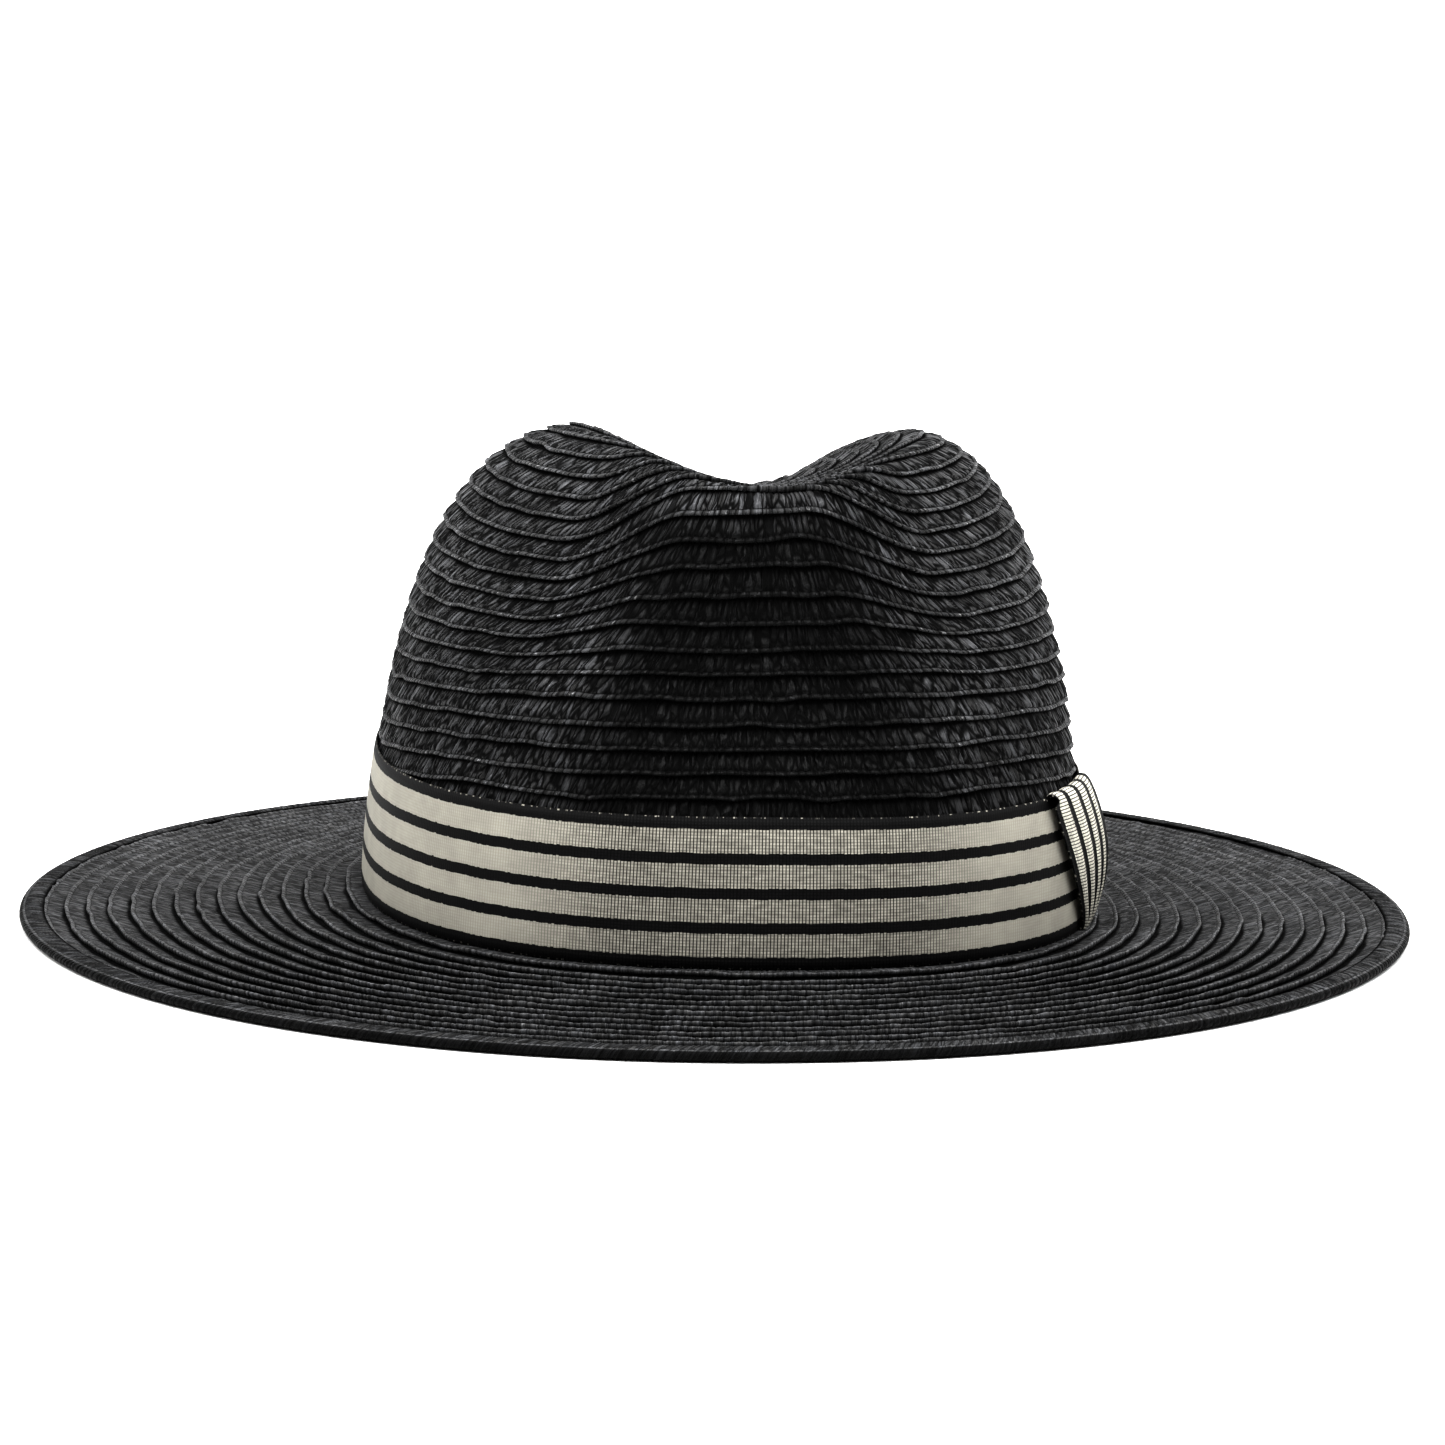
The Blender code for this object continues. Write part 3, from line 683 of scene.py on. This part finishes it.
def make_sweatband(look):
    """The inner band: a woven tape with a folded hem at its top and a bound foot."""
    around = BACK + np.linspace(0.006, 2 * math.pi - 0.006, 900)
    share = np.linspace(0, 1, 31)
    heights = SWEATBAND_LOW + (SWEATBAND_HIGH - SWEATBAND_LOW) * share
    hem = 0.00035 * smooth_step(share, 0.88, 0.90) + 0.00030 * smooth_step(-share, -0.07, -0.05)
    length = arc_length(around, heights.mean(), SWEATBAND_FACE)
    ripple = 0.0002 * np.sin(length[:, None] / 0.023 + 2 * share) * share
    uv = np.stack(np.broadcast_arrays(length[:, None], heights), -1)
    inner = SWEATBAND_FACE - hem - ripple
    angle = around[:, None]
    heights = np.broadcast_to(heights, (len(around), len(share)))
    front = crown_by_height.lifted(heights, angle, inner)
    back = crown_by_height.lifted(heights, angle, np.full_like(inner, SWEATBAND_FACE + 0.0005))
    band = thin_sheet("sweatband_woven", front, back, uv)
    finish_piece(band, look, "black_twill", "sweatband")


def make_sweatband_stitches(look):
    """A running stitch that holds the sweatband's foot to the braid."""
    from_join = 0.05
    spacing = (2 * math.pi - 2 * from_join) / STITCHES
    places = np.linspace(0, 1, 6)
    offsets = SWEATBAND_FACE - 0.00032 - 0.00025 * np.sin(places * math.pi)
    routes = []
    for start in BACK + from_join + np.arange(STITCHES) * spacing:
        angles = start + STITCH_SHARE * spacing * places
        routes.append([wall_point(angle, STITCH_HEIGHT, out) for angle, out in zip(angles, offsets)])
    piece = grid_piece("sweatband_stitches", *thread_tubes(routes, STITCH_THREAD, 3, steps=14))
    finish_piece(piece, look, "thread")


def inside_patch(name, node, slot, middle, extent, look):
    """A small piece of tape sewn on the sweatband's inner face, slightly domed.

    extent is its half width, and the heights of its foot and top above the fold.
    """
    half_width, low, high = extent
    reach = half_width / (CROWN_HALF_WIDTH + CROWN_EXTRA_LENGTH)
    points = 41
    across = np.linspace(-1, 1, points)
    share = np.linspace(0, 1, points)
    heights = FOLD_Z + low + (high - low) * share[None, :]
    heights = np.broadcast_to(heights, (points, points))
    swell = 0.0004 * (1 - np.abs(across[:, None]) ** 6) * (1 - np.abs(2 * share[None, :] - 1) ** 6)
    angle = (middle + reach * across)[:, None]
    front = crown_by_height.lifted(heights, angle, SWEATBAND_FACE - 0.0006 - swell)
    back = crown_by_height.lifted(heights, angle, SWEATBAND_FACE - 0.0004 - swell)
    uv = np.stack(np.broadcast_arrays(half_width * across[:, None], heights), -1)
    patch = thin_sheet(name, front, back, uv)
    finish_piece(patch, look, slot, node)


# -------------------- materials

class Look:
    """A Principled material, with short calls for adding nodes to it."""

    def __init__(self, name, roughness=0.5, **fixed):
        self.material = bpy.data.materials.new(name)
        self.material.use_nodes = True
        self.tree = self.material.node_tree
        self.shader = self.tree.nodes["Principled BSDF"]
        self.shader.inputs["Roughness"].default_value = roughness
        for socket, value in fixed.items():
            self.shader.inputs[socket.replace("_", " ")].default_value = value

    def put(self, socket, value):
        if isinstance(value, bpy.types.NodeSocket):
            self.tree.links.new(value, socket)
        else:
            socket.default_value = value

    def node(self, kind, output, inputs, **settings):
        made = self.tree.nodes.new("ShaderNode" + kind)
        for name, value in settings.items():
            setattr(made, name, value)
        for name, value in inputs.items():
            self.put(made.inputs[name], value)
        return made.outputs[output]

    def math(self, operation, *values):
        return self.node("Math", 0, dict(enumerate(values)), operation=operation)

    def times(self, *factors):
        product = factors[0]
        for factor in factors[1:]:
            product = self.math("MULTIPLY", product, factor)
        return product

    def plus(self, one, other):
        return self.math("ADD", one, other)

    def line(self, value, slope, offset):
        """A straight-line function: value times slope, plus offset."""
        return self.math("MULTIPLY_ADD", value, slope, offset)

    def grooves(self, position, low, high):
        """1 on a rib and 0 in the groove between two ribs, where position counts the ribs."""
        return self.ramp(self.math("PINGPONG", position, 0.5), low, high)

    def ramp(self, value, low, high, start=0.0, end=1.0):
        """start where value is low or less, end where it is high or more, smooth between."""
        inputs = {"Value": value, "From Min": low, "From Max": high, "To Min": start, "To Max": end}
        return self.node("MapRange", "Result", inputs, interpolation_type="SMOOTHSTEP")

    def noise(self, vector, scale, detail=2.0):
        return self.node("TexNoise", 0, {"Vector": vector, "Scale": scale, "Detail": detail})

    def split(self, vector):
        made = self.tree.nodes.new("ShaderNodeSeparateXYZ")
        self.put(made.inputs[0], vector)
        return made.outputs

    def uv(self):
        along, across, _ = self.split(self.node("UVMap", 0, {}, uv_map="cloth"))
        return along, across

    def vector(self, x, y, z=0.0):
        return self.node("CombineXYZ", 0, {"X": x, "Y": y, "Z": z})

    def place(self):
        return self.node("TexCoord", "Object", {})

    def random(self, number):
        whole = self.math("FLOOR", number)
        return self.node("TexWhiteNoise", "Value", {"W": whole}, noise_dimensions="1D")

    def mix(self, share, one, other):
        made = self.tree.nodes.new("ShaderNodeMix")
        made.data_type = "RGBA"
        self.put(made.inputs[0], share)
        self.put(made.inputs[6], one)
        self.put(made.inputs[7], other)
        return made.outputs[2]

    def blend(self, share, one, other):
        """A number between one, where share is 0, and other, where it is 1."""
        return self.node("Mix", "Result", {0: share, 2: one, 3: other})

    def scaled(self, colour, factor):
        return self.node("VectorMath", "Vector", {0: colour, "Scale": factor}, operation="SCALE")

    def finish(self, colour, height=None, distance=0.001, strength=1.0, roughness=None):
        self.put(self.shader.inputs["Base Color"], colour)
        if roughness is not None:
            self.put(self.shader.inputs["Roughness"], roughness)
        if height is not None:
            inputs = {"Height": height, "Distance": distance, "Strength": strength}
            self.put(self.shader.inputs["Normal"], self.node("Bump", 0, inputs))
        return self.material


BRIM_TOP = (0.007, 0.011)       # heights between which the straw turns from brim to crown


def straw_look(name, gloss):
    """Dyed paper straw: plump near-black strands with dark cracks, fine fibres and a beaded lip.

    The brim, which is pressed flat, is more even than the crown.
    """
    look = Look(name, 0.45, Specular_IOR_Level=gloss)
    number, share = look.uv()
    lip = look.ramp(share, LIP_START - 0.02, LIP_START)
    rim = look.ramp(share, 1.0, ROLLED)
    on_brim = look.ramp(look.split(look.place())[2], *BRIM_TOP, 1.0, 0.0)

    # Strands on the face of the strip, and beads along its lip
    bend = look.noise(look.vector(look.times(number, 0.8), look.times(share, 2.2)), 1.0)
    bent = look.plus(number, look.line(bend, 0.9, -0.45))
    cells = {"Vector": look.vector(bent, look.times(share, 1.15)), "Scale": 1.0, "Randomness": 0.8}
    from_edge = look.node("TexVoronoi", "Distance", cells, feature="DISTANCE_TO_EDGE")
    tone = look.node("TexVoronoi", "Color", cells)
    from_bead = look.math("PINGPONG", look.times(number, 0.7), 0.5)
    strand_crack = look.ramp(from_edge, 0.03, 0.17, 1.0, 0.0)
    bead_crack = look.ramp(from_bead, 0.02, 0.16, 0.9, 0.0)
    crack_depth = look.blend(rim, look.line(on_brim, -0.35, 1.0), 0.15)
    crack = look.times(look.blend(lip, strand_crack, bead_crack), crack_depth)

    # Fine detail of a strand, and painted highlights: bright specks added to its colour
    fibre = look.noise(look.vector(look.times(number, 9.0), share), 1.0, 3.0)
    split = look.noise(look.vector(look.times(bent, 3.4), look.times(share, 1.6)), 1.0)
    split = look.ramp(split, 0.34, 0.62, look.line(on_brim, 0.10, 0.45), 1.35)
    # Painted highlight: random bright specks, strongest on the lip, none on the rim and fewer on the
    # brim
    painted_glint = look.noise(look.vector(look.times(number, 1.6), look.times(share, 7.0)), 1.0)
    painted_glint = look.times(look.ramp(painted_glint, 0.60, 0.72), look.line(lip, 2.0, 0.8))
    painted_glint = look.times(painted_glint, look.math("SUBTRACT", 1.0, rim), look.line(on_brim, -0.6, 1.0))

    # Painted shade: the colour is darker where the strip is tucked in, beside the lip and on the rim
    tucked = look.ramp(share, 0.19, 0.38)
    from_groove = look.math("ABSOLUTE", look.math("SUBTRACT", share, LIP_START - 0.01))
    groove = look.ramp(from_groove, 0.0, 0.03, 0.2, 1.0)
    patch = look.ramp(look.noise(look.place(), 60.0), 0.35, 0.7, 0.8, 1.2)
    # Painted light: the lips of the brim's rows are 1.4 times lighter, for the light they catch
    proud = look.line(look.times(lip, on_brim), 0.4, 1.0)
    rolled = look.line(rim, -0.9, 1.0)
    light = look.blend(on_brim, look.line(tone, 1.1, 0.40), look.line(tone, 0.45, 0.72))
    fibres = look.ramp(fibre, 0.3, 0.75, 0.7, 1.35)
    light = look.times(look.plus(light, painted_glint), fibres, split, patch, tucked, groove, rolled, proud)
    # Painted shade on the front facet and painted light on the upper crown and the brim, then painted
    # glints once more
    light = look.plus(look.times(light, painted_light_and_shade(look)), look.times(painted_glint, 0.12))
    # Painted shade: the colour is darkened in the cracks between strands and between beads, less on the
    # brim and least on the rim
    light = look.times(light, look.line(crack, -0.95, 1.0))
    dye = look.mix(tone, (0.057, 0.0565, 0.056, 1), (0.053, 0.054, 0.057, 1))

    plumpness = look.blend(lip, look.ramp(from_edge, 0.0, 0.35), look.ramp(from_bead, 0.0, 0.4))
    height = look.plus(look.plus(plumpness, look.times(split, 0.30)), look.times(fibre, 0.20))
    rough = look.plus(look.line(tone, -0.20, 0.48), look.times(crack, 0.5))
    rough = look.math("MAXIMUM", rough, look.math("SUBTRACT", 1.0, tucked))
    return look.finish(look.scaled(dye, light), height, distance=0.0005, strength=0.9, roughness=rough)


def painted_light_and_shade(look):
    """Painted light and shade in the straw's colour: the front facet is painted deep, for shade that
    the lamps give it only in part, and the upper crown and the brim are painted lighter, for light.
    """
    x, y, z = look.split(look.place())
    half_width = look.line(z, -0.30, 0.060)
    off_side = look.ramp(look.math("SUBTRACT", look.math("ABSOLUTE", x), half_width), -0.015, 0.011)
    off_top = look.ramp(z, 0.105, 0.114)
    off_front = look.ramp(y, -0.072, -0.046)
    away = look.math("MAXIMUM", look.math("MAXIMUM", off_side, off_top), off_front)
    # Painted shade on the front facet, and painted light that grows towards the top of the crown
    on_crown = look.times(look.line(away, 0.955, 0.045), look.ramp(z, 0.045, 0.085, 0.95, 1.5))
    # Painted light: the brim is painted a little lighter than the foot of the crown
    return look.blend(look.ramp(z, *BRIM_TOP), 1.15, on_crown)


def ribbon_look(name, cream_colour, pulled_flat):
    """Grosgrain ribbon: black ground, four cream stripes, a fine grid of ribs, speckled selvedges.

    Where it is pulled flat, its ribs show in front and fade out at the sides.
    """
    look = Look(name, 0.62, Specular_IOR_Level=0.15)
    along, across = look.uv()
    rib = look.times(along, 1 / RIB)
    picks = look.grooves(look.times(across, 1 / PICK), 0.04, 0.32)
    uneven = look.noise(look.vector(look.times(along, 300.0), look.times(across, 900.0)), 1.0)
    weave = look.times(look.grooves(rib, 0.05, 0.22), look.line(picks, 0.4, 0.6))
    weave = look.times(weave, look.ramp(uneven, 0.3, 0.7, 0.75, 1.1))
    if pulled_flat:
        beside = look.math("ABSOLUTE", look.split(look.place())[0])
        weave = look.blend(look.ramp(beside, 0.030, 0.062), weave, look.line(weave, 0.22, 0.80))

    # The stripes, whose borders step a little from rib to rib
    jagged = look.plus(across, look.line(look.random(rib), 0.00022, -0.00011))
    from_margin = look.math("SUBTRACT", jagged, RIBBON_MARGIN)
    phase = look.math("FLOORED_MODULO", from_margin, RIBBON_STRIPE + RIBBON_GROUND)
    stripe = look.math("LESS_THAN", phase, RIBBON_STRIPE)
    from_middle = look.math("ABSOLUTE", look.math("SUBTRACT", jagged, RIBBON_HEIGHT / 2))
    inside = look.math("LESS_THAN", from_middle, RIBBON_HEIGHT / 2 - RIBBON_MARGIN)
    at_edge = look.math("GREATER_THAN", from_middle, RIBBON_HEIGHT / 2 - 0.0003)
    speck = look.noise(look.vector(look.times(along, 800.0), 0.0), 1.0, 3.0)
    specks = look.times(at_edge, look.ramp(speck, 0.52, 0.60, 0.0, 0.8))
    cream = look.math("MAXIMUM", look.times(stripe, inside), specks)

    uneven_dye = look.ramp(look.noise(look.place(), 90.0), 0.3, 0.7, 0.93, 1.05)
    shade = look.times(look.line(weave, 0.95, 0.04), uneven_dye)
    black = look.scaled((0.0062, 0.0060, 0.0062), shade)
    colour = look.mix(cream, black, look.scaled(cream_colour, shade))
    return look.finish(colour, weave, distance=0.00022, strength=0.6)


def twill_look():
    """Black woven tape with a fine diagonal twill."""
    look = Look("black_twill_tape", 0.85, Sheen_Weight=0.25, Sheen_Roughness=0.5)
    along, across = look.uv()
    diagonals = look.grooves(look.times(look.plus(along, across), 1 / 0.0009), 0.05, 0.35)
    picks = look.grooves(look.times(across, 1 / 0.00045), 0.05, 0.4)
    weave = look.times(diagonals, look.line(picks, 0.4, 0.6))
    fluff = look.ramp(look.noise(look.place(), 700.0), 0.3, 0.7, 0.8, 1.3)
    colour = look.scaled((0.017, 0.017, 0.018), look.times(look.line(weave, 0.6, 0.5), fluff))
    return look.finish(colour, weave, distance=0.00018, strength=0.7)


def label_look():
    """A blank woven satin tab."""
    look = Look("blank_satin_label", 0.45)
    along, across = look.uv()
    picks = look.grooves(look.times(across, 1 / 0.0003), 0.05, 0.4)
    ends = look.grooves(look.times(along, 1 / 0.0005), 0.05, 0.4)
    weave = look.times(picks, look.line(ends, 0.3, 0.7))
    colour = look.scaled((0.72, 0.70, 0.64), look.line(weave, 0.25, 0.75))
    return look.finish(colour, weave, distance=0.0001, strength=0.5)


def thread_look(name, colour):
    """Sewing thread with fine fibres that run along it."""
    look = Look(name, 0.6)
    along, around = look.uv()
    fibre = look.noise(look.vector(look.times(along, 12.0), look.times(around, 6.0)), 2.0)
    colour = look.scaled(colour, look.ramp(fibre, 0.3, 0.7, 0.7, 1.2))
    return look.finish(colour, fibre, distance=0.00008, strength=0.6)


def steel_look():
    """Drawn spring wire with a little tarnish, duller in places."""
    look = Look("drawn_steel", 0.3, Metallic=1.0)
    tarnish = look.noise(look.place(), 120.0, 4.0)
    colour = look.scaled((0.55, 0.55, 0.56), look.ramp(tarnish, 0.3, 0.7, 0.7, 1.05))
    rough = look.ramp(look.noise(look.place(), 900.0), 0.3, 0.7, 0.22, 0.42)
    return look.finish(colour, roughness=rough)


def floor_look():
    """Pale paper, a very little uneven."""
    look = Look("pale_floor", 0.9)
    uneven = look.ramp(look.noise(look.place(), 3.0), 0, 1, 0.99, 1.01)
    return look.finish(look.scaled((0.90, 0.90, 0.895), uneven))


# -------------------- camera, floor and light

def make_camera():
    """A long lens in front of the hat, a little above it and a little to the wearer's right."""
    distance, height, aside = 1.350, 0.2558, 0.0018
    yaw, roll = math.radians(6.0), 0.0116
    target_height = 0.0483
    right = np.array([math.cos(yaw), -math.sin(yaw), 0.0])
    place = np.array([-distance * math.sin(yaw), -distance * math.cos(yaw), height]) + aside * right
    target = np.array([0.0, 0.0, target_height]) + aside * right
    ahead = (target - place) / np.linalg.norm(target - place)
    up = np.cross(right, ahead)
    level = math.cos(roll) * right + math.sin(roll) * up
    upright = math.cos(roll) * up - math.sin(roll) * right
    data = bpy.data.cameras.new("camera")
    data.sensor_width = 36.0
    data.lens = 134.5
    camera = bpy.data.objects.new("camera", data)
    bpy.context.scene.collection.objects.link(camera)
    turn_and_place = np.stack([level, upright, -ahead, place], 1)
    camera.matrix_world = Matrix(np.vstack([turn_and_place, [0, 0, 0, 1]]).tolist())
    bpy.context.scene.camera = camera


def make_floor():
    mesh = bpy.data.meshes.new("floor")
    reach = 40.0
    corners = [(-reach, -reach, 0), (reach, -reach, 0), (reach, reach, 0), (-reach, reach, 0)]
    mesh.from_pydata(corners, [], [(0, 1, 2, 3)])
    mesh.materials.append(floor_look())
    floor = bpy.data.objects.new("floor", mesh)
    bpy.context.scene.collection.objects.link(floor)


def soft_sun(name, azimuth, elevation, spread, strength):
    """A broad far light. Azimuth 0 comes from the front and 90 from the wearer's left.

    The lights' names say left and right as the picture shows them.
    """
    data = bpy.data.lights.new(name, "SUN")
    data.energy = strength
    data.angle = math.radians(spread)
    sun = bpy.data.objects.new(name, data)
    sun.rotation_euler = (math.radians(90 - elevation), 0.0, math.radians(azimuth))
    bpy.context.scene.collection.objects.link(sun)


def make_light():
    soft_sun("light_back_left", -150, 25, 50, 1.0)
    soft_sun("light_back_right", 150, 25, 50, 1.0)
    soft_sun("light_side_left", -95, 50, 50, 1.8)
    soft_sun("light_side_right", 95, 50, 50, 1.7)
    soft_sun("light_front_left", -45, 45, 50, 1.7)
    soft_sun("light_front_right", 45, 45, 50, 1.7)
    soft_sun("light_top", 0, 78, 50, 3.4)
    bpy.context.scene.view_settings.view_transform = "Standard"
    bpy.context.scene.view_settings.gamma = 0.7
    world = bpy.data.worlds.new("studio")
    world.use_nodes = True
    world.node_tree.nodes["Background"].inputs["Color"].default_value = (1, 1, 1, 1)
    world.node_tree.nodes["Background"].inputs["Strength"].default_value = 0.15
    bpy.context.scene.world = world


make_camera()
make_floor()
make_light()
straw = straw_look("black_straw_plait", 0.15)
rolled_straw = straw_look("black_straw_rolled", 0.03)
ribbon = ribbon_look("striped_grosgrain", (0.385, 0.370, 0.325), True)
# Painted light: the wrap is the same ribbon, its cream painted about twice as bright for the light it
# catches
wrap_ribbon_painted_lighter = ribbon_look("striped_grosgrain_painted_lighter", (0.78, 0.755, 0.67), False)
twill = twill_look()
black_thread = thread_look("black_thread", (0.02, 0.02, 0.021))
make_crown(straw)
make_brim(straw)
make_edge(rolled_straw)
make_ribbon(ribbon)
make_wrap(wrap_ribbon_painted_lighter)
for name, node, degrees in TACKS:
    make_tack(name, node, math.radians(degrees), black_thread)
make_sweatband(twill)
make_sweatband_stitches(black_thread)
inside_patch("sweatband_join_tape", "sweatband_back_tape", "black_twill", BACK, TAPE_EXTENT, twill)
inside_patch("blank_size_label", "size_label", "blank_label", LABEL_ANGLE, LABEL_EXTENT, label_look())
steel = steel_look()
for node in ("brim_wire", "wire_joiner"):
    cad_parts[node].material_slots[0].material = steel
